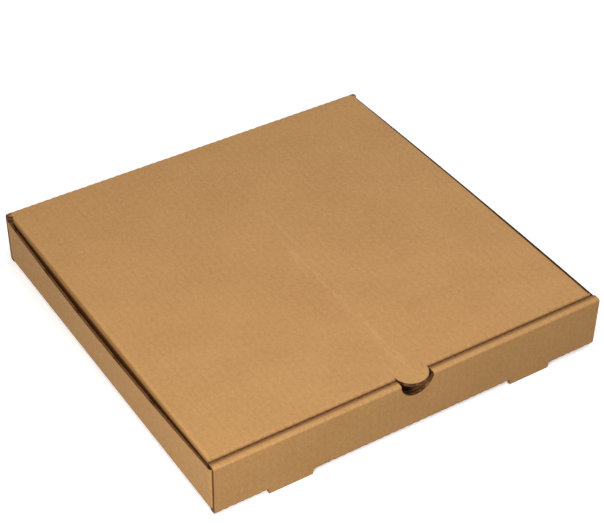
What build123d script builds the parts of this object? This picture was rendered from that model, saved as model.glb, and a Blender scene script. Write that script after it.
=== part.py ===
"""Pizza box of brown corrugated board: a folded tray with a roll-over front wall, and its hinged lid."""
import os
from math import cos, radians, sin
from build123d import *

# Board and overall size (mm). X runs along the front wall, Y to the back, Z up from the base's underside.
side = 330.0                # outer width and depth of the base
board = 2.7                 # thickness of the corrugated board
front_height = 44.0         # top of the front wall
back_height = 45.2          # top of the crease between back wall and lid
layer_gap = 0.1             # air between two layers of board that lie together
fold_gap = 0.3              # air under a flap that is folded over the base
crease_radius = 1.2         # outside of a sharp crease
half = side / 2

# Front wall: outer panel, top strip and inner panel in one run of board, leaning out at the top
front_lean = 1.2            # how far the wall's top stands out in front of its foot
layer_pitch = board + layer_gap
wall_depth = 3 * board + 2 * layer_gap
inner_crease_radius = 1.8
inner_panel_half = 160.0    # half the length of the inner panel
notch_radius = 14.2         # half-round thumb notch
notch_centre_z = 44.2

# Side walls with their corner flaps: straight at the foot, bowed outwards at the top
wall_foot = board + fold_gap
side_wall_top = front_height - board - layer_gap
left_bow = 4.4              # middle of the left wall's top edge
right_bow = 2.6             # middle of the right wall's top edge
front_end_bow = 1.3         # front ends of both top edges
back_end_bow = 0.9          # back ends of both top edges
corner_flap_reach = 62.0    # how far a corner flap runs in from the side of the box
corner_radius = 1.8         # upright creases between side walls and corner flaps

# Feet under the front wall, and the slots in the base behind them for the locking tabs
foot_x = 104.0
foot_height = 4.1
foot_tip_width = 35.6
foot_root_width = 37.6
slot_depth = 6.2            # from the outer panel's back to the slot's far edge
lock_tab_width = 32.0
lock_tab_end = 0.3          # height of the locking tabs' ends above the underside

# Hinge crease between back wall and lid
hinge_radius = 2.0          # outside of the crease
hinge_gap = 0.2             # between the two halves of the crease

# Lid, drawn in its own frame: origin at the outer corner of the hinge crease, sloping down to the front
lid_half = 162.6            # half the width of the lid, over its side flaps
lid_clearance = 0.3         # between the lid's front fold and the front wall
lid_side_radius = 2.0
lid_front_radius = 2.2
flap_lean = radians(5)      # by which the lid's flaps lean inwards
tuck_depth = 28.0           # front tuck flap, measured down from the lid's top
tuck_root_half = 158.0
tuck_tip_half = 151.0
side_flap_depth = 30.0
side_flap_front = 319.5     # from the hinge to the front end of a side flap's crease
side_flap_back = 11.0       # from the hinge to the back end of a side flap's crease
side_flap_taper = 9.0       # how much each end is cut back at the flap's free edge
thumb_tab_x = 0.6           # the tab sits a little right of the notch
thumb_tab_radius = 13.2
thumb_tab_reach = 2.9       # how far the tab stands out past the front wall's top

front_top_y = -half - front_lean
lid_front_y = front_top_y + wall_depth + lid_clearance
lid_length = half - lid_front_y
lid_slope = (back_height - front_height) / lid_length
thumb_tab_centre = front_top_y - thumb_tab_reach + thumb_tab_radius - half
lid_plane = Plane(origin=(0, half, back_height), x_dir=(1, 0, 0), z_dir=(0, -lid_slope, 1))
lid_side_plane = Plane(origin=lid_plane.origin, x_dir=lid_plane.y_dir, z_dir=lid_plane.x_dir)
lid_front_plane = Plane(origin=lid_plane.origin, x_dir=lid_plane.x_dir, z_dir=-lid_plane.y_dir)


def lean_at(z):
    """Return how far the front wall stands forward at a height."""
    return front_lean * z / front_height


def board_run(points, radii):
    """Draw the section of a run of board: its outer face passes through the points and bends at each one."""
    with BuildSketch() as section:
        with BuildLine():
            outer_face = Polyline(*points)
            offset(outer_face, amount=board, side=Side.LEFT, kind=Kind.INTERSECTION)
        make_face()
        for point, radius in zip(points[1:-1], radii):
            fillet(section.vertices().sort_by_distance(point)[0], radius)
    return section.sketch


def side_wall(sign, bow):
    """Make one side wall with its two corner flaps: straight at its foot, bowed outwards at its top."""
    with BuildPart() as wall:
        for z, bulge in ((wall_foot, 0.0), (side_wall_top, 1.0)):
            front = (sign * (half + front_end_bow * bulge), -half + layer_pitch - lean_at(z))
            middle = (sign * (half + bow * bulge), 0)
            back = (sign * (half + back_end_bow * bulge), half - layer_pitch)
            flap_x = sign * (half - corner_flap_reach)
            inward = sign * -board
            with BuildSketch(Plane.XY.offset(z)):
                with BuildLine():
                    Line((flap_x, front[1]), front)
                    Spline(front, middle, back)
                    Polyline(
                        back,
                        (flap_x, back[1]),
                        (flap_x, back[1] - board),
                        (back[0] + inward, back[1] - board),
                    )
                    Spline(
                        (back[0] + inward, back[1] - board),
                        (middle[0] + inward, 0),
                        (front[0] + inward, front[1] + board),
                    )
                    Polyline(
                        (front[0] + inward, front[1] + board),
                        (flap_x, front[1] + board),
                        (flap_x, front[1]),
                    )
                make_face()
        loft(ruled=True)
        uprights = wall.edges().filter_by(lambda edge: abs((edge % 0.5).Z) > 0.9)
        corners = uprights.sort_by(lambda edge: sign * edge.center().X)[-2:]
        fillet(corners, corner_radius)
    return wall.part


os.makedirs("parts", exist_ok=True)

# ---------------------------------------------------------------- tray
left_wall = side_wall(-1, left_bow)
right_wall = side_wall(1, right_bow)
inner_panel_foot = -half - lean_at(wall_foot) + wall_depth
back_wall_section = board_run(
    [(half, board / 2), (half, back_height), (half - 2 * board, back_height)],
    [hinge_radius],
)
front_wall_section = board_run(
    [
        (inner_panel_foot, wall_foot),
        (front_top_y + wall_depth, front_height),
        (front_top_y, front_height),
        (-half, board / 2),
    ],
    [inner_crease_radius, crease_radius],
)

with BuildPart() as tray:
    # Base panel, with its four creases rounded on the outside
    Box(side, side, board, align=(Align.CENTER, Align.CENTER, Align.MIN))
    fillet(tray.edges().group_by(Axis.Z)[0], crease_radius)

    # Back wall, up to its half of the mitred hinge crease
    with BuildSketch(Plane.YZ.offset(-half)):
        add(back_wall_section)
        with BuildLine():
            Polyline(
                (half - 3 * board + hinge_gap / 2, back_height - 3 * board),
                (half + board + hinge_gap / 2, back_height + board),
                (half - 3 * board + hinge_gap / 2, back_height + board),
                close=True,
            )
        make_face(mode=Mode.SUBTRACT)
    extrude(amount=side)

    # Front wall: outer panel, strip and inner panel
    with BuildSketch(Plane.YZ.offset(-half)):
        add(front_wall_section)
    extrude(amount=side)

    # The inner panel stops short of the side walls
    with BuildSketch(Plane.XY.offset(wall_foot)):
        with Locations((-half, inner_panel_foot - board / 2), (half, inner_panel_foot - board / 2)):
            Rectangle(2 * (half - inner_panel_half), board + 2 * front_lean)
    extrude(amount=front_height - board - wall_foot, mode=Mode.SUBTRACT)

    # Thumb notch through both panels and the strip
    with BuildSketch(Plane.XZ.offset(-front_top_y - 2 * wall_depth)):
        with Locations((0, notch_centre_z)):
            Circle(notch_radius)
    extrude(amount=3 * wall_depth, mode=Mode.SUBTRACT)

    # Feet in line with the outer panel, and the slots that they leave in the base
    with BuildSketch(Plane.XZ.offset(half)):
        with Locations((-foot_x, -foot_height), (foot_x, -foot_height)):
            Polygon(
                (-foot_tip_width / 2, 0),
                (foot_tip_width / 2, 0),
                (foot_root_width / 2, foot_height + board),
                (-foot_root_width / 2, foot_height + board),
                align=None,
            )
    extrude(amount=-board)
    with BuildSketch(Plane.XY):
        with Locations((-foot_x, -half + board), (foot_x, -half + board)):
            Rectangle(foot_root_width, slot_depth, align=(Align.CENTER, Align.MIN))
    extrude(amount=board, mode=Mode.SUBTRACT)

    # Locking tabs of the inner panel, down into the slots
    with BuildSketch(Plane.XY.offset(lock_tab_end)):
        with Locations((-foot_x, inner_panel_foot), (foot_x, inner_panel_foot)):
            Rectangle(lock_tab_width, board, align=(Align.CENTER, Align.MAX))
    extrude(amount=wall_foot + board - lock_tab_end)

    # Side walls with their corner flaps, which stand on the base only between the flaps
    add(left_wall)
    add(right_wall)
    with BuildSketch(Plane.XY.offset(board)):
        with Locations((-half, 0)):
            Rectangle(board, side - 4 * layer_pitch, align=(Align.MIN, Align.CENTER))
        with Locations((half, 0)):
            Rectangle(board, side - 4 * layer_pitch, align=(Align.MAX, Align.CENTER))
    extrude(amount=fold_gap)

# ---------------------------------------------------------------- lid
tuck_drop = tuck_depth * cos(flap_lean)
tuck_shift = tuck_depth * sin(flap_lean)
lid_section = board_run(
    [(0, -2 * board), (0, 0), (-lid_length, 0), (-lid_length + tuck_shift, -tuck_drop)],
    [hinge_radius, lid_front_radius],
)

with BuildPart() as side_flap:
    # Right flap: its section leans inwards below the lid's edge
    flap_tip = side_flap_depth - board
    with BuildSketch(lid_front_plane.offset(side_flap_back)):
        with BuildLine():
            Polyline(
                (lid_half - board, -board),
                (lid_half - board, -lid_side_radius),
                (lid_half, -lid_side_radius),
                (lid_half, -board),
                (lid_half - flap_tip * sin(flap_lean), -board - flap_tip * cos(flap_lean)),
                (
                    lid_half - flap_tip * sin(flap_lean) - board * cos(flap_lean),
                    -board - flap_tip * cos(flap_lean) + board * sin(flap_lean),
                ),
                close=True,
            )
        make_face()
    extrude(amount=side_flap_front - side_flap_back)
    # Both ends are cut back towards the free edge
    with BuildSketch(lid_side_plane.offset(lid_half - side_flap_depth)):
        with BuildLine():
            Polyline(
                (-side_flap_front, 0),
                (-side_flap_back, 0),
                (-side_flap_back - side_flap_taper, -side_flap_depth),
                (-side_flap_front + side_flap_taper, -side_flap_depth),
                close=True,
            )
        make_face()
    extrude(amount=2 * side_flap_depth, mode=Mode.INTERSECT)

with BuildPart() as lid:
    # Top panel and tuck flap, from the lid's half of the mitred hinge crease
    with BuildSketch(lid_side_plane.offset(-lid_half)):
        add(lid_section)
        with BuildLine():
            Polyline(
                (-3 * board - hinge_gap / 2, -3 * board),
                (board - hinge_gap / 2, board),
                (board, -3 * board),
                close=True,
            )
        make_face(mode=Mode.SUBTRACT)
    extrude(amount=2 * lid_half)

    # Rounded creases along both sides
    with BuildSketch(lid_front_plane.offset(-board)):
        with Locations((-lid_half, 0), (lid_half, 0)):
            Rectangle(2 * lid_side_radius, 2 * lid_side_radius)
        with Locations(
            (-lid_half + lid_side_radius, -lid_side_radius),
            (lid_half - lid_side_radius, -lid_side_radius),
        ):
            Circle(lid_side_radius, mode=Mode.SUBTRACT)
    extrude(amount=lid_length + 2 * board, mode=Mode.SUBTRACT)

    # The tuck flap's ends slope in to its free edge
    with BuildSketch(lid_front_plane.offset(lid_length - 2 * board - tuck_shift)):
        for sign in (-1, 1):
            with BuildLine():
                Polyline(
                    (sign * tuck_root_half, -board),
                    (sign * (lid_half + board), -board),
                    (sign * (lid_half + board), -tuck_depth - board),
                    (sign * tuck_tip_half, -tuck_depth - board),
                    close=True,
                )
            make_face()
    extrude(amount=4 * board + tuck_shift, mode=Mode.SUBTRACT)

    # Half-round hole in the tuck flap, and the thumb tab that was cut out of it
    with BuildSketch(lid_front_plane.offset(lid_length - 2 * board - tuck_shift)):
        with Locations((thumb_tab_x, 0)):
            Circle(thumb_tab_radius)
            Rectangle(
                3 * thumb_tab_radius,
                thumb_tab_radius + board,
                align=(Align.CENTER, Align.MIN),
                mode=Mode.SUBTRACT,
            )
    extrude(amount=4 * board + tuck_shift, mode=Mode.SUBTRACT)
    with BuildSketch(lid_plane):
        with Locations((thumb_tab_x, thumb_tab_centre)):
            Circle(thumb_tab_radius)
    extrude(amount=-board)

    # Side flaps, below the rounded creases
    add(side_flap.part)
    mirror(side_flap.part, about=Plane.YZ)

tray.part.label = "tray"
lid.part.label = "lid"
export_step(tray.part, "parts/tray.step")
export_step(lid.part, "parts/lid.step")
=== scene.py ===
"""Brown corrugated pizza box, shut.

Each board is die-cut as a flat blank with its two liners and its flutes, and then folded."""

from math import cos, hypot, pi, radians, sin

import bpy
import numpy as np
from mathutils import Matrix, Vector
from mathutils.geometry import delaunay_2d_cdt


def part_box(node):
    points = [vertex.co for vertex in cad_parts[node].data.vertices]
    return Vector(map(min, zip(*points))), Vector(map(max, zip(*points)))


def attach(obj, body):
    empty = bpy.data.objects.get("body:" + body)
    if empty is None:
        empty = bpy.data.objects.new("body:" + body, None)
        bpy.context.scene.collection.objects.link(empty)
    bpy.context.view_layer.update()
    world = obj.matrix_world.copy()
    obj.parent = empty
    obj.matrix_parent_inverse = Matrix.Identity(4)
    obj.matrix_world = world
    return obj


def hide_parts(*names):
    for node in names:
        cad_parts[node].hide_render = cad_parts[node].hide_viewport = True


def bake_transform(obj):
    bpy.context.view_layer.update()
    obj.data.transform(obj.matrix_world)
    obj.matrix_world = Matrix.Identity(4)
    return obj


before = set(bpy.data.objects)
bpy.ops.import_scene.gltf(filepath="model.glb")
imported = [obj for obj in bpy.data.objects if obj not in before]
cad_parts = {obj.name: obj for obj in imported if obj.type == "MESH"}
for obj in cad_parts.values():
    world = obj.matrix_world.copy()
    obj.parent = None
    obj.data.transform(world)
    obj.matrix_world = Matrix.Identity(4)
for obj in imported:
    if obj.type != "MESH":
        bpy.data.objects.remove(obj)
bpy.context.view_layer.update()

# ------------------------------------------------------------ dimensions (mm)
MM = 0.001                  # one millimetre in metres
tray_low, tray_high = (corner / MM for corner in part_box("tray"))
lid_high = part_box("lid")[1] / MM
box_margin = 0.01           # how far the bowed walls stay inside the frame's box

# Board: two liners and a fluted sheet between them
board = 2.7
liner = 0.28
medium = 0.2
flute_pitch = 6.33          # the side walls' top edges are cut where their flutes are open
inner_radius = 0.25         # inside of every crease
relief = 0.06               # width of the cuts that end a crease
washboard = 0.016           # how far the liners sink between flutes, as a share of the board
crush = 0.10                # how far a crease's outside sinks between flutes, as a share of the board
soft_crush = 0.17           # the same on both sides of the groove in front of the lid
crush_spread = 0.3          # how unevenly the flutes sink, from one flute to the next
crush_beats = (2.4, 0.9)

# Mesh: columns run along the flutes, rows across them
flute_steps = 6             # columns in one flute
crease_steps = 6            # lines round a crease
lid_crease_steps = 12
hinge_crease_steps = 14
tray_rows = 9
side_rows = 28
hinge_rows = 7
lid_rows = 24
row_gap = 2.0               # plain rows keep this far from a crease's lines
hinge_row_gap = 0.5
column_gap = 0.3
edge_gap = 0.12             # points on an outline keep this far from its corners
grid_gap = 0.1              # points of the grid keep this far from an outline
notch_points = 26
tab_points = 44

# Tray
half = 165.0
back_height = float(lid_high.z)
front_height = 44.0
front_lean = 1.2
layer_gap = 0.1
layer_pitch = board + layer_gap
wall_slack = 0.2
wall_depth = 3 * board + wall_slack
inner_panel_half = 160.0
wall_foot = 3.0
side_wall_top = front_height - layer_pitch
left_bow = -half - float(tray_low.x) - box_margin
right_bow = float(tray_high.x) - half - box_margin
front_end_bow = 1.3
back_end_bow = 0.9
corner_flap_reach = 62.0
crease_radius = 1.2
inner_crease_radius = 2.7
corner_radius = 1.8
notch_radius = 14.2
notch_centre_z = 44.2
edge_drop = 2.4             # how far the left wall's inner liner was pressed down as its edge was cut
painted_shade_depth = 1.5               # depth of the painted shade at the left wall's open edge and the hinge's ends
groove_shade_width = 1.4          # how far the painted shade of the groove before the lid comes onto the strip
groove_shade_ripple = 0.3         # how much that width ripples from flute to flute
groove_shade_edge = 0.8           # over which the painted shade fades out

# Feet, their slots and the locking tabs
foot_x = 104.0
foot_height = -float(tray_low.z)
foot_tip_half = 17.8
foot_root_half = 18.65
slot_half = 18.8
slot_depth = 6.2
slot_far_y = -half + board + slot_depth
lock_tab_half = 16.0
lock_tab_end = 0.3

# Hinge crease, shared by the two boards
hinge_radius = 2.0
tray_top_z = 40.2           # where the back wall becomes the hinge crease
hinge_reach = 5.0           # from the hinge corner to where the crease becomes the lid
hinge_top_half = 164.3      # the lid's corners at the hinge, where it is nearly as wide as the back wall

# Lid, in its own frame: origin at the hinge corner, sloping down to the front
lid_half = 162.6
lid_edge_half = 162.3       # plain edges of the lid beyond the side flaps
lid_front_radius = 1.7
lid_side_radius = 2.0
lid_front_gap = 0.3
flap_lean = radians(5)
front_top_y = -half - front_lean
lid_length = half - (front_top_y + wall_depth + lid_front_gap)
lid_slope = (back_height - front_height) / lid_length
lid_sag = 0.25              # how far the middle of the lid has settled
left_spread = (0.0, -0.6, 0.0, 0.9)     # how far the side stands out at hinge, flap, middle and front
right_spread = (0.0, 0.6, 1.9, 0.9)
front_shade_start = 0.25    # where the painted shade starts in the lid's front crease, as a share of it
front_shade_rate = 1.8
tuck_depth = 28.0
tuck_root_half = 158.0
tuck_tip_half = 151.0
tuck_corner = 5.0           # cut corners of the tuck flap's free edge
side_flap_depth = 30.0
side_flap_front = 321.3
side_flap_back = 7.0
side_flap_taper = 9.0
tab_x = 0.6
tab_radius = 13.2
tab_reach = 2.88
tab_gap = 0.12              # width of the cut round the thumb tab
tab_centre = front_top_y - tab_reach + tab_radius - half

# ------------------------------------------------------------ studio (metres, watts and degrees)
floor_glow = 0.35
world_strength = 0.2
floor_half = 4.0
camera_azimuth = -32.151
camera_elevation = 38.483
camera_distance = 1.29666
camera_lens = 99.69
camera_target = (0.01064, 0.00357, 0.03092)


# ------------------------------------------------------------ a board's section: straight runs and creases
class Run:
    """A strip of board seen from its end. Its flat length is measured along its outer face."""

    def __init__(self, points, radii, inner, zero, start=0.0, steps=crease_steps):
        """The points are the outer face's corners, and the inner face is to the left where inner is 1.

        The flat length is start at the point zero."""
        points = [np.array(point, float) for point in points]
        along = [(b - a) / np.linalg.norm(b - a) for a, b in zip(points, points[1:])]
        across = [inner * np.array((-d[1], d[0])) for d in along]
        outside = [points[0]]
        inside = [points[0] + board * across[0]]
        self.creases = []
        for k, radius in enumerate(radii):
            stations = crease(points[k + 1], across[k], across[k + 1], radius, steps)
            self.creases.append(range(len(outside), len(outside) + len(stations)))
            outside += [outer for outer, _ in stations]
            inside += [core for _, core in stations]
        outside.append(points[-1])
        inside.append(points[-1] + board * across[-1])
        self.outside = np.array(outside)
        self.inside = np.array(inside)
        lengths = np.linalg.norm(np.diff(self.outside, axis=0), axis=1)
        self.flat = np.concatenate(([0.0], np.cumsum(lengths)))
        self.flat += start - self.at(zero)

    def at(self, point):
        """Flat length of a point of the outer face."""
        start = self.outside[:-1]
        step = np.diff(self.outside, axis=0)
        share = np.clip(((point - start) * step).sum(1) / (step * step).sum(1), 0, 1)
        gap = np.linalg.norm(start + share[:, None] * step - point, axis=1)
        k = int(gap.argmin())
        return float(self.flat[k] + share[k] * (self.flat[k + 1] - self.flat[k]))

    def stations(self):
        """Flat lengths of every line that the creases need."""
        return [float(self.flat[k]) for lines in self.creases for k in lines]

    def softness(self, flat, creases):
        """1 in the middle of those creases, falling to 0 at their ends."""
        result = np.zeros(len(flat))
        for k in creases:
            first, last = self.flat[self.creases[k][0]], self.flat[self.creases[k][-1]]
            result += np.sin(pi * np.clip((flat - first) / (last - first), 0, 1)) ** 2
        return result

    def place(self, flat, depth):
        """Points at flat lengths, depth 0 on the outer face and 1 on the inner face."""
        outer = [np.interp(flat, self.flat, self.outside[:, k]) for k in (0, 1)]
        core = [np.interp(flat, self.flat, self.inside[:, k]) for k in (0, 1)]
        return [o + depth * (c - o) for o, c in zip(outer, core)]


def crease(corner, normal_in, normal_out, radius, steps):
    """Pairs of outer and inner points round one crease, on rays from the centre of its inner radius."""
    spread = (normal_in + normal_out) / (1 + normal_in @ normal_out)
    centre = corner + (board + inner_radius) * spread
    round_centre = corner + radius * spread
    across = normal_in[0] * normal_out[1] - normal_in[1] * normal_out[0]
    turn = np.arctan2(across, normal_in @ normal_out)
    tangent = radius * np.tan(abs(turn) / 2)
    pairs = []
    for k in range(steps + 1):
        angle = turn * k / steps
        ray = -np.array((
            normal_in[0] * cos(angle) - normal_in[1] * sin(angle),
            normal_in[0] * sin(angle) + normal_in[1] * cos(angle),
        ))
        to_lines = (board + inner_radius) / max(-ray @ normal_in, -ray @ normal_out)
        outer = centre + to_lines * ray
        if np.linalg.norm(outer - corner) < tangent:
            to_round = (centre - round_centre) @ ray
            gap = (centre - round_centre) @ (centre - round_centre) - radius**2
            outer = centre + (-to_round + np.sqrt(to_round**2 - gap)) * ray
        pairs.append((outer, centre + inner_radius * ray))
    return pairs


# ------------------------------------------------------------ flat blanks
def arc(centre, radius, first, last, count):
    """Points along an arc, by angles in degrees."""
    angles = np.radians(np.linspace(first, last, count))
    return [(centre[0] + radius * cos(a), centre[1] + radius * sin(a)) for a in angles]


def mirrored(points):
    """A right-hand outline, followed by its left-hand mirror image in reverse."""
    return points + [(-x, y) for x, y in reversed(points)]


def inside_of(points, loops):
    """Which points are inside the outline and outside its holes."""
    x, y = points.T
    hit = np.zeros(len(points), bool)
    for loop in loops:
        for (x0, y0), (x1, y1) in zip(loop, loop[1:] + loop[:1]):
            if y0 != y1:
                hit ^= ((y0 > y) != (y1 > y)) & (x < (x1 - x0) * (y - y0) / (y1 - y0) + x0)
    return hit


def clear_of(points, loops, gap):
    """Which points are at least a gap away from every outline."""
    result = np.ones(len(points), bool)
    for loop in loops:
        for start, end in zip(loop, loop[1:] + loop[:1]):
            start, step = np.array(start), np.array(end) - start
            share = np.clip((points - start) @ step / max(step @ step, 1e-12), 0, 1)
            away = points - start - share[:, None] * step
            result &= (away * away).sum(1) > gap * gap
    return result


def divided(loop, columns, rows):
    """An outline with points where the mesh's columns and rows meet it, and every flute step on a slant."""
    result = []
    for (x0, y0), (x1, y1) in zip(loop, loop[1:] + loop[:1]):
        length = hypot(x1 - x0, y1 - y0)
        if abs(y1 - y0) < 1e-6:
            shares = [(c - x0) / (x1 - x0) for c in columns]
        elif abs(x1 - x0) < 1e-6:
            shares = [(r - y0) / (y1 - y0) for r in rows]
        else:
            count = int(length * flute_steps / flute_pitch)
            shares = [k / (count + 1) for k in range(1, count + 1)]
        margin = min(edge_gap / length, 0.4)
        shares = [0.0] + sorted(s for s in shares if margin < s < 1 - margin)
        result += [(x0 + s * (x1 - x0), y0 + s * (y1 - y0)) for s in shares]
    return result


def triangulate(loops, grids, seams=()):
    """Triangles of a die-cut blank.

    Each grid is (columns, rows, test), with points only where the test holds. A seam is a line of points
    that no triangle crosses."""
    points = []
    edges = []
    for seam in seams:
        edges += [(len(points) + k, len(points) + k + 1) for k in range(len(seam) - 1)]
        points += seam
    columns = sorted(set().union(*(grid[0] for grid in grids)))
    rows = sorted(set().union(*(grid[1] for grid in grids)))
    for loop in loops:
        line = divided(loop, columns, rows)
        first = len(points)
        points += line
        edges += [(first + k, first + (k + 1) % len(line)) for k in range(len(line))]
    for grid_columns, grid_rows, test in grids:
        grid = np.array([(c, r) for c in grid_columns for r in grid_rows])
        grid = grid[test(np.abs(grid[:, 0]), np.abs(grid[:, 1]))]
        keep = inside_of(grid, loops) & clear_of(grid, loops, grid_gap)
        points += [tuple(point) for point in grid[keep]]
    cut = delaunay_2d_cdt([Vector(point) for point in points], edges, [], 0, 1e-5, False)
    flat = np.array([tuple(v) for v in cut[0]])
    faces = np.array([tuple(f) for f in cut[2]])
    faces = faces[inside_of(flat[faces].mean(1), loops)]
    a, b, c = (flat[faces[:, k]] for k in range(3))
    turned = (b - a)[:, 0] * (c - a)[:, 1] - (b - a)[:, 1] * (c - a)[:, 0]
    faces = faces[np.abs(turned) > 1e-9]
    used = np.unique(faces)
    new_index = np.full(len(flat), -1)
    new_index[used] = np.arange(len(used))
    return flat[used], new_index[faces]


def flute_columns(low, high):
    """Mesh columns across the flutes between two flat lengths."""
    step = flute_pitch / flute_steps
    return [k * step for k in range(int(np.ceil(low / step)), int(high / step) + 1)]


def merged(lines, others, gap):
    """Lines together with those of the others that are a gap clear of them."""
    lines = sorted(lines)
    return sorted(lines + [x for x in others if min(abs(x - y) for y in lines) > gap])


# ------------------------------------------------------------ boards
def crushed(depth, amount, flat_x):
    """Depth after a crease has pushed the outer face in between the flutes, a little unevenly."""
    flute = np.floor(flat_x / flute_pitch + 0.5)
    beat = np.sin(flute * crush_beats[0]) * np.cos(flute * crush_beats[1])
    uneven = 1 - crush_spread + crush_spread * beat
    between = (1 + np.cos(2 * pi * flat_x / flute_pitch)) / 2
    return depth + (1 - depth) * amount * uneven * between


def board_mesh(name, flat, faces, fold, painted_shade, inner_painted_shade=0.0):
    """Make one folded board from its flat blank: outer liner, medium and inner liner, each a closed sheet.

    The first marks say how far painted shade darkens each point's paper, and the second marks do the same
    for the medium and the inner liner only."""
    wave = np.cos(2 * pi * flat[:, 0] / flute_pitch)
    thin = liner / board
    half_medium = 0.5 * medium / board
    reach = 0.5 - thin - half_medium
    sunk = washboard * (1 + wave) / 2
    sheets = (
        (sunk, sunk + thin, FACE, CUT),
        (0.5 - reach * wave - half_medium, 0.5 - reach * wave + half_medium, CUT, CUT),
        (1 - thin - sunk, 1 - sunk, CUT, FACE),
    )
    sides = np.concatenate([faces[:, [0, 1]], faces[:, [1, 2]], faces[:, [2, 0]]])
    ends = np.sort(sides, axis=1)
    _, first, uses = np.unique(ends, axis=0, return_index=True, return_counts=True)
    rim = sides[first[uses == 1]]
    count = len(flat)
    points = []
    polygons = []
    kinds = []
    for depth_out, depth_in, kind_out, kind_in in sheets:
        start = len(points) * count
        points += [fold(flat, depth_out), fold(flat, depth_in)]
        outer = faces[:, ::-1] + start
        inner = faces + start + count
        a, b = (rim + start).T
        walls = np.stack([a, b, b + count, a + count], axis=1)
        polygons += [*outer.tolist(), *inner.tolist(), *walls.tolist()]
        kinds += [kind_out] * len(outer) + [kind_in] * len(inner) + [CUT] * len(walls)
    mesh = bpy.data.meshes.new(name)
    mesh.from_pydata(np.concatenate(points) * MM, [], polygons)
    blank = np.zeros((len(points) * count, 3), np.float32)
    blank[:, :2] = np.tile(flat * MM, (len(points), 1))
    blank_attribute = mesh.attributes.new("blank", "FLOAT_VECTOR", "POINT")
    blank_attribute.data.foreach_set("vector", blank.ravel())
    # Painted shade marks: the medium and the inner liner take the darker of the two
    inner_marks = np.maximum(painted_shade, inner_painted_shade)
    marks = np.concatenate([painted_shade, painted_shade] + [inner_marks] * 4).astype(np.float32)
    painted_shade_attribute = mesh.attributes.new("painted_shade", "FLOAT", "POINT")
    painted_shade_attribute.data.foreach_set("value", marks)
    mesh.polygons.foreach_set("use_smooth", [True] * len(polygons))
    mesh.polygons.foreach_set("material_index", kinds)
    mesh.update()
    mesh.set_sharp_from_angle(angle=radians(50))
    piece = bpy.data.objects.new(name, mesh)
    bpy.context.scene.collection.objects.link(piece)
    for material in (kraft_face, kraft_cut):
        piece.data.materials.append(material)
    return piece


# ------------------------------------------------------------ tray
# A blank's x runs across the flutes. Its y is the box's y at the base, and goes on up the back wall and
# over the lid.
tray_run = Run(
    [
        (-half + wall_depth, 0.0),
        (front_top_y + wall_depth, front_height),
        (front_top_y, front_height),
        (-half, 0.0),
        (half, 0.0),
        (half, tray_top_z),
    ],
    [inner_crease_radius, crease_radius, crease_radius, crease_radius], 1, (0.0, 0.0),
)
side_run = Run([(0.0, 0.0), (half, 0.0), (half, side_wall_top)], [crease_radius], 1, (0.0, 0.0))
flap_line = half - layer_pitch
flap_end = half - corner_flap_reach
corner_run = Run(
    [(flap_end, -flap_line), (half, -flap_line), (half, flap_line), (flap_end, flap_line)],
    [corner_radius, corner_radius], 1, (half, 0.0),
)


def outer_panel(z):
    """Flat length at a height of the front wall's outer panel."""
    return tray_run.at((-half - front_lean * z / front_height, z))


def inner_panel(z):
    """Flat length at a height of the front wall's inner panel."""
    return tray_run.at((-half - front_lean * z / front_height + wall_depth, z))


foot_root = outer_panel(wall_foot)
foot_tip = foot_root + wall_foot + foot_height
foot_run = Run(
    [(front_top_y, front_height), (-half + front_lean * foot_height / front_height, -foot_height)],
    [], 1, (-half, 0.0), foot_root + wall_foot,
)
crease_edge = side_run.flat[side_run.creases[0][0]] - relief
crease_end = corner_run.flat[corner_run.creases[1][0]] - relief
side_foot = side_run.at((half, wall_foot))
side_top = side_run.at((half, side_wall_top))


def in_side(x, y):
    """Which points of the blank belong to a side wall, its crease or its corner flaps."""
    beside_base = (np.abs(x) > crease_edge) & (np.abs(y) < crease_end + relief / 2)
    return beside_base | (np.abs(x) > half + relief)


def in_foot(x, y):
    """Which points of the blank belong to a foot, which stays straight where the front wall is creased."""
    width = np.interp(y, (foot_root, foot_tip), (foot_root_half, foot_tip_half)) + relief / 2
    near = (y > foot_root - relief) & (y < foot_tip + relief)
    return near & (np.abs(np.abs(x) - foot_x) < width)


def parabola(y, front, middle, back):
    """A value along the box's side, from its front end to its back end."""
    share = np.clip(y / flap_line, -1, 1)
    return middle + (back - front) / 2 * share + ((front + back) / 2 - middle) * share**2


def fold_tray(flat, depth):
    """Where the tray's blank lies once it is folded."""
    x, y = flat.T
    feet = in_foot(x, y)
    soft = crush * tray_run.softness(y, (1, 2, 3)) * ~feet
    soft = soft + soft_crush * tray_run.softness(y, (0,))
    strip_y, strip_z = tray_run.place(y, crushed(depth, soft, x))
    foot_y, foot_z = foot_run.place(y, depth)
    middle = np.stack([x, np.where(feet, foot_y, strip_y), np.where(feet, foot_z, strip_z)], axis=1)

    side_x, side_z = side_run.place(np.abs(x), depth)
    turn_depth = crushed(depth, crush * corner_run.softness(y, (0, 1)), x)
    turn_x, turn_y = corner_run.place(y, turn_depth)
    rise = np.clip((side_z - wall_foot) / (side_wall_top - wall_foot), 0, 1)
    bow = np.where(
        x < 0,
        parabola(turn_y, front_end_bow, left_bow, back_end_bow),
        parabola(turn_y, front_end_bow, right_bow, back_end_bow),
    )
    lean = front_lean * side_z / front_height * np.clip(-turn_y / half, 0, 1)
    side_x = side_x + turn_x - (half - board * depth) + bow * rise
    near_top = np.clip((side_z - side_wall_top) / edge_drop + 1, 0, 1)
    side_z = side_z - edge_drop * depth * near_top * (x < 0)
    side = np.stack([np.sign(x) * side_x, turn_y - lean, side_z], axis=1)
    return np.where(in_side(x, y)[:, None], side, middle)


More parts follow.
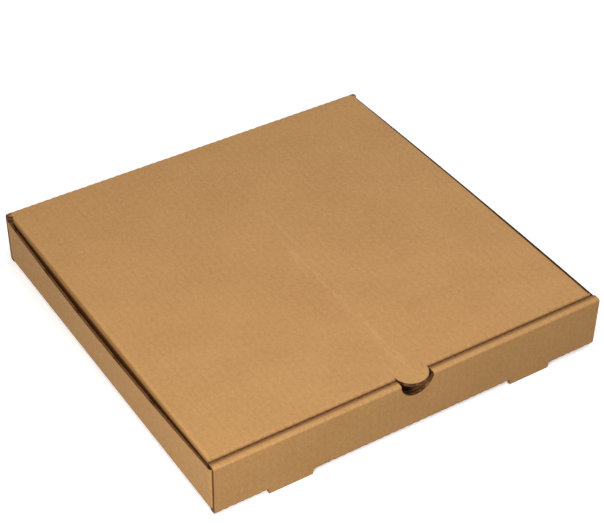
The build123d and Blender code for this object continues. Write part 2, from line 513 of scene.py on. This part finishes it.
def tray_outline():
    """The right-hand half of the tray's outline, from the hinge crease to the front wall's inner panel."""
    step = inner_panel(side_wall_top)
    end = inner_panel(wall_foot)
    tab_end = inner_panel(lock_tab_end)
    flap_front = corner_run.at((flap_end, -flap_line))
    flap_back = corner_run.at((flap_end, flap_line))
    return [
        (half, tray_run.at((half, tray_top_z))),
        (half, crease_end + relief),
        (crease_edge, crease_end + relief),
        (crease_edge, crease_end),
        (side_foot, crease_end),
        (side_foot, flap_back),
        (side_top, flap_back),
        (side_top, flap_front),
        (side_foot, flap_front),
        (side_foot, -crease_end),
        (crease_edge, -crease_end),
        (crease_edge, -crease_end - relief),
        (half, -crease_end - relief),
        (half, step),
        (inner_panel_half, step),
        (inner_panel_half, end),
        (foot_x + lock_tab_half, end),
        (foot_x + lock_tab_half, tab_end),
        (foot_x - lock_tab_half, tab_end),
        (foot_x - lock_tab_half, end),
    ]


def notch_outline():
    """The thumb notch in the tray's blank: a half circle in each panel and a slot across the strip."""
    cut_z = side_wall_top
    start = np.degrees(np.arcsin((notch_centre_z - cut_z) / notch_radius))
    half_circle = arc((0, notch_centre_z), notch_radius, -start, start - 180, notch_points)
    outer = [(x, outer_panel(z)) for x, z in half_circle]
    inner = [(x, inner_panel(z)) for x, z in reversed(half_circle)]
    return outer + inner


def slot_outline(sign):
    """The cut round one foot, and the slot that it leaves in the base."""
    right = [
        (slot_half, foot_root),
        (foot_root_half, foot_root),
        (foot_tip_half, foot_tip),
    ]
    left = [(-x, y) for x, y in reversed(right)]
    ring = right + left + [(-slot_half, slot_far_y), (slot_half, slot_far_y)]
    return [(sign * foot_x + x, y) for x, y in ring]


def make_tray():
    """Cut and fold the tray's board."""
    loops = [mirrored(tray_outline()), notch_outline(), slot_outline(-1), slot_outline(1)]
    rows = np.linspace(inner_panel(wall_foot), tray_run.at((half, tray_top_z)), tray_rows).tolist()
    rows = merged(tray_run.stations(), rows, row_gap)
    across = np.linspace(corner_run.flat[0], corner_run.flat[-1], side_rows).tolist()
    across = merged(corner_run.stations(), across, row_gap)
    columns = merged(side_run.stations(), flute_columns(crease_edge, side_top), column_gap)
    columns = [c for c in columns if c > crease_edge]
    grids = [
        (flute_columns(-half, half), rows, lambda x, y: ~in_side(x, y)),
        ([-c for c in columns] + columns, across, in_side),
    ]
    seam_rows = [y for y in across if abs(y) < crease_end - 2 * relief]
    seams = [[(sign * (crease_edge + relief), y) for y in seam_rows] for sign in (-1, 1)]
    flat, faces = triangulate(loops, grids, seams)
    x, y = flat.T
    # Painted shade on the strip, in the groove before the lid
    start = tray_run.flat[tray_run.creases[0][-1]] + groove_shade_width
    start = start + groove_shade_ripple * np.cos(2 * pi * x / flute_pitch)
    painted_shade = np.clip((start - y) / groove_shade_edge, 0, 1) * ~in_side(x, y)
    # Painted shade inside the left wall's open top edge, on the medium and the inner liner
    inner_painted_shade = np.clip((-x - side_top) / painted_shade_depth + 1, 0, 1)
    piece = board_mesh("tray_board", flat, faces, fold_tray, painted_shade, inner_painted_shade)
    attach(piece, "tray")
    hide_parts("tray")


# ------------------------------------------------------------ hinge crease and lid
hinge_run = Run(
    [
        (half, tray_top_z),
        (half, back_height),
        (half - 2 * hinge_reach, back_height - 2 * hinge_reach * lid_slope),
    ],
    [hinge_radius], 1, (half, tray_top_z), tray_run.at((half, tray_top_z)), hinge_crease_steps,
)
hinge_end = hinge_run.at((half - hinge_reach, back_height - hinge_reach * lid_slope))
lid_start = hinge_end - hinge_reach
lid_run = Run(
    [
        (-hinge_reach, 0.0),
        (-lid_length, 0.0),
        (-lid_length + tuck_depth * sin(flap_lean), -tuck_depth * cos(flap_lean)),
    ],
    [lid_front_radius], 1, (-hinge_reach, 0.0), hinge_end, lid_crease_steps,
)
flap_run = Run(
    [
        (0.0, 0.0),
        (lid_half, 0.0),
        (lid_half - side_flap_depth * sin(flap_lean), -side_flap_depth * cos(flap_lean)),
    ],
    [lid_side_radius], -1, (0.0, 0.0),
)
flap_edge = flap_run.flat[flap_run.creases[0][0]] - relief
flap_tip = float(flap_run.flat[-1])
tab_root = lid_run.flat[lid_run.creases[0][0]] - relief
lid_front = (lid_start + lid_length) * MM


def to_box(x, y, z):
    """Points of the lid's own frame, in the box's frame."""
    length = hypot(1, lid_slope)
    return np.stack(
        [x, half + (y - lid_slope * z) / length, back_height + (lid_slope * y + z) / length], axis=1
    )


def fold_hinge(flat, depth):
    """Where the board of the hinge crease lies."""
    x, y = flat.T
    y, z = hinge_run.place(y, crushed(depth, crush * hinge_run.softness(y, (0,)), x))
    return np.stack([x, y, z], axis=1)


def make_hinge():
    """Fold the crease between back wall and lid, which bends as the lid swings."""
    lines = hinge_run.creases[0]
    first, last = float(hinge_run.flat[lines[0]]), float(hinge_run.flat[lines[-1]])
    outline = [
        (half, hinge_run.flat[0]),
        (half, first),
        (hinge_top_half, last),
        (hinge_top_half, hinge_end),
    ]
    rows = np.linspace(hinge_run.flat[0], hinge_end, hinge_rows).tolist()
    rows = merged(hinge_run.stations(), rows, hinge_row_gap)
    grids = [(flute_columns(-half, half), rows, lambda x, y: y > 0)]
    flat, faces = triangulate([mirrored(outline)], grids)
    # Painted shade at the hinge crease's ends, beyond the lid's plain edges
    painted_shade = np.clip(np.abs(flat[:, 0]) - lid_edge_half + painted_shade_depth, 0, 1)
    piece = board_mesh("hinge_crease", flat, faces, fold_hinge, painted_shade)
    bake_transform(piece)


def in_flap(x, y):
    """Which points of the lid's blank belong to a side flap or its crease."""
    reach = y - lid_start
    along = (reach > side_flap_back - relief / 2) & (reach < side_flap_front + relief / 2)
    return (np.abs(x) > flap_edge) & along


def in_tab(x, y):
    """Which points of the lid's blank belong to the thumb tab, which the lid's front crease leaves flat."""
    reach = y - lid_start
    return (y > tab_root) & (np.hypot(x - tab_x, reach + tab_centre) < tab_radius + tab_gap / 2)


def fold_lid(flat, depth):
    """Where the lid's blank lies once it is folded."""
    x, y = flat.T
    reach = y - lid_start
    tab = in_tab(x, y)
    soft = soft_crush * lid_run.softness(y, (0,)) * ~tab
    lid_y, lid_z = lid_run.place(y, crushed(depth, soft, x))
    lid_y = np.where(tab, -reach, lid_y)
    lid_z = np.where(tab, -board * depth, lid_z)
    flap_x, flap_z = flap_run.place(np.abs(x), depth)
    flap = in_flap(x, y)
    side_x = np.where(flap, flap_x, np.abs(x))
    side_y = np.where(flap, -reach, lid_y)
    side_z = np.where(flap, flap_z, lid_z)
    places = (0, side_flap_back, lid_length / 2, lid_length)
    left = np.interp(reach, places, left_spread)
    right = np.interp(reach, places, right_spread)
    spread = np.where(x < 0, left, right)
    spread *= np.clip(side_x / lid_half, 0, 1) ** 4
    sag = lid_sag * np.sin(pi * np.clip(reach / lid_length, 0, 1)) * np.cos(pi * x / (2 * lid_half))
    return to_box(np.sign(x) * (side_x + spread), side_y, side_z - sag)


def lid_outline():
    """The right-hand half of the lid's outline, from the hinge crease to the tuck flap."""
    flap_root = flap_run.at((lid_half, -lid_side_radius))
    fold = float(lid_run.flat[lid_run.creases[0][-1]])
    tip = float(lid_run.flat[-1])
    return [
        (hinge_top_half, hinge_end),
        (lid_edge_half, lid_start + side_flap_back - relief),
        (flap_edge, lid_start + side_flap_back - relief),
        (flap_edge, lid_start + side_flap_back),
        (flap_root, lid_start + side_flap_back),
        (flap_tip, lid_start + side_flap_back + side_flap_taper),
        (flap_tip, lid_start + side_flap_front - side_flap_taper),
        (flap_root, lid_start + side_flap_front),
        (flap_edge, lid_start + side_flap_front),
        (flap_edge, lid_start + side_flap_front + relief),
        (lid_edge_half, lid_start + side_flap_front + relief),
        (lid_edge_half, fold),
        (tuck_root_half, fold),
        (tuck_tip_half + tuck_corner / 3, tip - tuck_corner),
        (tuck_tip_half - tuck_corner, tip),
    ]


def tab_outline():
    """The cut round the thumb tab: a narrow ring that starts just behind the lid's front crease."""
    centre = (tab_x, lid_start - tab_centre)
    start = np.degrees(np.arcsin((tab_root - centre[1]) / tab_radius))
    inner = arc(centre, tab_radius, start, 180 - start, tab_points)
    outer = arc(centre, tab_radius + tab_gap, start, 180 - start, tab_points)
    return inner + outer[::-1]


def make_lid():
    """Cut and fold the lid's board."""
    loops = [mirrored(lid_outline()), tab_outline()]
    rows = np.linspace(hinge_end, float(lid_run.flat[-1]), lid_rows).tolist()
    middle_rows = merged(lid_run.stations(), rows, row_gap)
    columns = merged(flap_run.stations(), flute_columns(flap_edge, flap_tip), column_gap)
    columns = [c for c in columns if c > flap_edge]
    grids = [
        (flute_columns(-lid_edge_half, lid_edge_half), middle_rows, lambda x, y: ~in_flap(x, y)),
        ([-c for c in columns] + columns, rows, in_flap),
    ]
    flat, faces = triangulate(loops, grids)
    # Painted shade in the lid's front crease, outside the thumb tab
    lines = lid_run.creases[0]
    first, last = float(lid_run.flat[lines[0]]), float(lid_run.flat[lines[-1]])
    share = (flat[:, 1] - first) / (last - first) - front_shade_start
    painted_shade = np.clip(share * front_shade_rate, 0, 1) * ~in_tab(*flat.T)
    piece = board_mesh("lid_board", flat, faces, fold_lid, painted_shade)
    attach(piece, "lid")
    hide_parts("lid")


# ------------------------------------------------------------ kraft paper
def socket(tree, node_type, inputs=(), **settings):
    """Add a node, give it its settings and inputs, and return it.

    An input is a value or another node's output."""
    node = tree.nodes.new(node_type)
    for name, value in settings.items():
        setattr(node, name, value)
    for key, value in dict(inputs).items():
        if isinstance(value, bpy.types.NodeSocket):
            tree.links.new(value, node.inputs[key])
        else:
            node.inputs[key].default_value = value
    return node


def linear(red, green, blue):
    """An sRGB colour, 0 to 255, as the linear colour that a shader takes."""
    parts = [c / 255 for c in (red, green, blue)]
    parts = [c / 12.92 if c <= 0.04045 else ((c + 0.055) / 1.055) ** 2.4 for c in parts]
    return (*parts, 1.0)


def noise(tree, vector, size, detail=3.0, roughness=0.55, stretch=(1, 1, 1)):
    """Noise with features of about that size in metres, stretched along the blank's axes."""
    scale = [1 / (size * s) for s in stretch]
    scaled = socket(tree, "ShaderNodeMapping", {"Vector": vector, "Scale": scale})
    made = socket(
        tree, "ShaderNodeTexNoise",
        {"Vector": scaled.outputs[0], "Scale": 1.0, "Detail": detail, "Roughness": roughness},
    )
    return made.outputs[0]


def ramp(tree, value, low, high, to_low=0.0, to_high=1.0):
    """Value mapped from low..high to to_low..to_high, smoothly and clamped."""
    made = socket(
        tree, "ShaderNodeMapRange",
        {"Value": value, "From Min": low, "From Max": high, "To Min": to_low, "To Max": to_high},
        interpolation_type="SMOOTHSTEP",
    )
    return made.outputs[0]


def maths(tree, operation, a, b=0.0):
    """One sum on two values."""
    return socket(tree, "ShaderNodeMath", {0: a, 1: b}, operation=operation).outputs[0]


def mix(tree, factor, a, b):
    """Mix two colours."""
    node = tree.nodes.new("ShaderNodeMix")
    node.data_type = "RGBA"
    for key, value in ((0, factor), (6, a), (7, b)):
        if isinstance(value, bpy.types.NodeSocket):
            tree.links.new(value, node.inputs[key])
        else:
            node.inputs[key].default_value = value
    return node.outputs[2]


def streak(tree, across, along, place, width, first, last, wander):
    """A faint line at one place across, between two places along, with soft ends and a wandering width."""
    off = maths(tree, "ABSOLUTE", maths(tree, "ADD", maths(tree, "SUBTRACT", across, place), wander))
    line = ramp(tree, off, width, width * 0.2)
    soft = 0.03
    start = ramp(tree, along, first - soft, first + soft)
    end = ramp(tree, along, last + soft, last - soft)
    return maths(tree, "MULTIPLY", line, maths(tree, "MULTIPLY", start, end))


FACE, CUT = 0, 1             # material slots of a board
face_dark = linear(162, 117, 69)
face_mid = linear(183, 137, 83)
face_light = linear(200, 154, 97)
cut_dark = linear(84, 50, 26)
cut_mid = linear(122, 80, 46)
cut_light = linear(150, 106, 66)
speck_colour = linear(138, 97, 58)
# Painted shade: the colour that darkens the groove before the lid, the lid's front crease, the left wall's
# open top edge and the hinge's ends
painted_shade_colour = linear(112, 72, 38)
scuff_colour = linear(214, 176, 128)
# Scuffs along the lid, and faint marks across it: place, half width, from, to (m on the blank), strength
scuffs = (
    (0.002, 0.007, lid_front - 0.17, lid_front - 0.005, 0.17),
    (0.010, 0.004, lid_front - 0.30, lid_front - 0.10, 0.08),
    (0.115, 0.0015, lid_front - 0.28, lid_front - 0.04, 0.10),
)
cross_marks = (
    (lid_front - 0.063, 0.0012, -0.15, 0.12, 0.25),
    (lid_front - 0.074, 0.0012, -0.10, 0.14, 0.20),
)


def kraft(name, face):
    """Brown kraft paper with painted shade: a liner with fibres, mottling and scuffs, or the darker look of
    a cut edge.
    """
    material = bpy.data.materials.new(name)
    material.use_nodes = True
    tree = material.node_tree
    tree.nodes.clear()
    blank = socket(tree, "ShaderNodeAttribute", attribute_name="blank").outputs["Vector"]
    parts = socket(tree, "ShaderNodeSeparateXYZ", {0: blank})
    x, y = parts.outputs[0], parts.outputs[1]

    # Pulp: faint clouds, fibres along and across, fine specks
    cloud = noise(tree, blank, 0.05, 2.0)
    mottle = noise(tree, blank, 0.0032, 3.0, 0.6, (0.8, 1.3, 1))
    fibre = noise(tree, blank, 0.0009, 3.0, 0.65, (0.7, 3.0, 1))
    cross = noise(tree, blank, 0.0010, 2.0, 0.6, (2.5, 0.8, 1))
    speck = noise(tree, blank, 0.0012, 1.0)
    dark, mid, light = (face_dark, face_mid, face_light) if face else (cut_dark, cut_mid, cut_light)
    colour = mix(tree, ramp(tree, mottle, 0.25, 0.75, 0.0, 0.5), mid, dark)
    colour = mix(tree, ramp(tree, cloud, 0.3, 0.7, 0.0, 0.22), colour, light)
    colour = mix(tree, ramp(tree, fibre, 0.42, 0.72, 0.0, 0.55), colour, light)
    colour = mix(tree, ramp(tree, cross, 0.45, 0.75, 0.0, 0.40), colour, dark)
    colour = mix(tree, ramp(tree, speck, 0.68, 0.78, 0.0, 0.5), colour, speck_colour)
    # Painted shade in grooves, creases and gaps, by the marks the boards carry
    painted_shade = socket(tree, "ShaderNodeAttribute", attribute_name="painted_shade").outputs["Fac"]
    colour = mix(tree, maths(tree, "MULTIPLY", painted_shade, 0.85), colour, painted_shade_colour)

    # Flutes show through the liner as faint stripes
    phase = maths(tree, "MULTIPLY", x, 2 * pi / (flute_pitch * MM))
    stripe = maths(tree, "COSINE", phase)
    colour = mix(tree, ramp(tree, stripe, 0.0, 1.0, 0.0, 0.10), colour, dark)

    # Fibres stand up a little, and polished scuffs are a little smoother
    fibre_height = maths(tree, "MULTIPLY", fibre, 0.6)
    height = maths(tree, "ADD", fibre_height, maths(tree, "MULTIPLY", mottle, 0.8))
    height = maths(tree, "ADD", height, maths(tree, "MULTIPLY", cross, 0.4))
    roughness = ramp(tree, mottle, 0.3, 0.7, 0.66, 0.82)
    if face:
        wander = maths(tree, "MULTIPLY", maths(tree, "SUBTRACT", cloud, 0.5), 0.012)
        worn = ramp(tree, noise(tree, blank, 0.004, 3.0, 0.6, (1, 6, 1)), 0.42, 0.62)
        for place, width, first, last, share in scuffs:
            line = streak(tree, x, y, place, width, first, last, wander)
            shown = maths(tree, "MULTIPLY", maths(tree, "MULTIPLY", line, worn), share)
            colour = mix(tree, shown, colour, scuff_colour)
            roughness = maths(tree, "SUBTRACT", roughness, maths(tree, "MULTIPLY", shown, 0.12))
        for place, width, first, last, share in cross_marks:
            line = streak(tree, y, x, place, width, first, last, wander)
            shown = maths(tree, "MULTIPLY", maths(tree, "MULTIPLY", line, worn), share)
            colour = mix(tree, shown, colour, face_dark)
    bump = socket(
        tree, "ShaderNodeBump",
        {"Height": height, "Strength": 0.35 if face else 0.8, "Distance": 0.0004},
    )
    surface = {"Base Color": colour, "Roughness": roughness, "Normal": bump.outputs[0]}
    shader = socket(tree, "ShaderNodeBsdfPrincipled", surface | {"Specular IOR Level": 0.3})
    output = tree.nodes.new("ShaderNodeOutputMaterial")
    tree.links.new(shader.outputs[0], output.inputs[0])
    return material


# ------------------------------------------------------------ floor, light and camera
def make_floor():
    """A plain pale floor, touching the box's two feet and the back edge of its base."""
    drop = foot_height * MM
    slope = drop / (2 * half * MM)
    edge = floor_half
    plan = ((-edge, -edge), (edge, -edge), (edge, edge), (-edge, edge))
    corners = [(x, y, -drop / 2 + slope * y) for x, y in plan]
    mesh = bpy.data.meshes.new("floor")
    mesh.from_pydata(corners, [], [(0, 1, 2, 3)])
    floor = bpy.data.objects.new("floor", mesh)
    bpy.context.scene.collection.objects.link(floor)
    material = bpy.data.materials.new("floor_white")
    material.use_nodes = True
    shader = material.node_tree.nodes["Principled BSDF"]
    shader.inputs["Base Color"].default_value = (0.93, 0.93, 0.93, 1.0)
    shader.inputs["Roughness"].default_value = 0.9
    shader.inputs["Specular IOR Level"].default_value = 0.1
    shader.inputs["Emission Color"].default_value = (1.0, 1.0, 1.0, 1.0)
    shader.inputs["Emission Strength"].default_value = floor_glow
    mesh.materials.append(material)
    floor.visible_diffuse = False


def make_light(name, place, target, size, power):
    """A square soft box that shines from one place at another."""
    light = bpy.data.lights.new(name, "AREA")
    light.size = size
    light.energy = power
    lamp = bpy.data.objects.new(name, light)
    lamp.location = place
    lamp.rotation_euler = (Vector(target) - Vector(place)).to_track_quat("-Z", "Y").to_euler()
    bpy.context.scene.collection.objects.link(lamp)


def make_world():
    """Even white light from all round."""
    world = bpy.data.worlds.new("studio")
    world.use_nodes = True
    background = world.node_tree.nodes["Background"]
    background.inputs["Color"].default_value = (1.0, 1.0, 1.0, 1.0)
    background.inputs["Strength"].default_value = world_strength
    bpy.context.scene.world = world


def make_camera():
    """Look at the box from its front left, from above."""
    azimuth, elevation = radians(camera_azimuth), radians(camera_elevation)
    back = Vector((sin(azimuth) * cos(elevation), -cos(azimuth) * cos(elevation), sin(elevation)))
    camera = bpy.data.cameras.new("camera")
    camera.sensor_width = 36.0
    camera.lens = camera_lens
    viewer = bpy.data.objects.new("camera", camera)
    viewer.location = Vector(camera_target) + back * camera_distance
    viewer.rotation_euler = (-back).to_track_quat("-Z", "Y").to_euler()
    bpy.context.scene.collection.objects.link(viewer)
    bpy.context.scene.camera = viewer


kraft_face = kraft("kraft_face", True)
kraft_cut = kraft("kraft_cut", False)
make_tray()
make_hinge()
make_lid()
make_floor()
make_light("key", (-0.88, -0.74, 0.44), (0.0, 0.0, 0.02), 0.4, 11.0)
make_light("overhead", (0.0, -0.36, 1.0), (0.0, 0.0, 0.0), 0.9, 8.0)
make_light("fill", (1.1, 1.2, 0.7), (0.0, 0.0, 0.02), 0.6, 5.0)
make_world()
make_camera()
bpy.context.scene.view_settings.view_transform = "Standard"
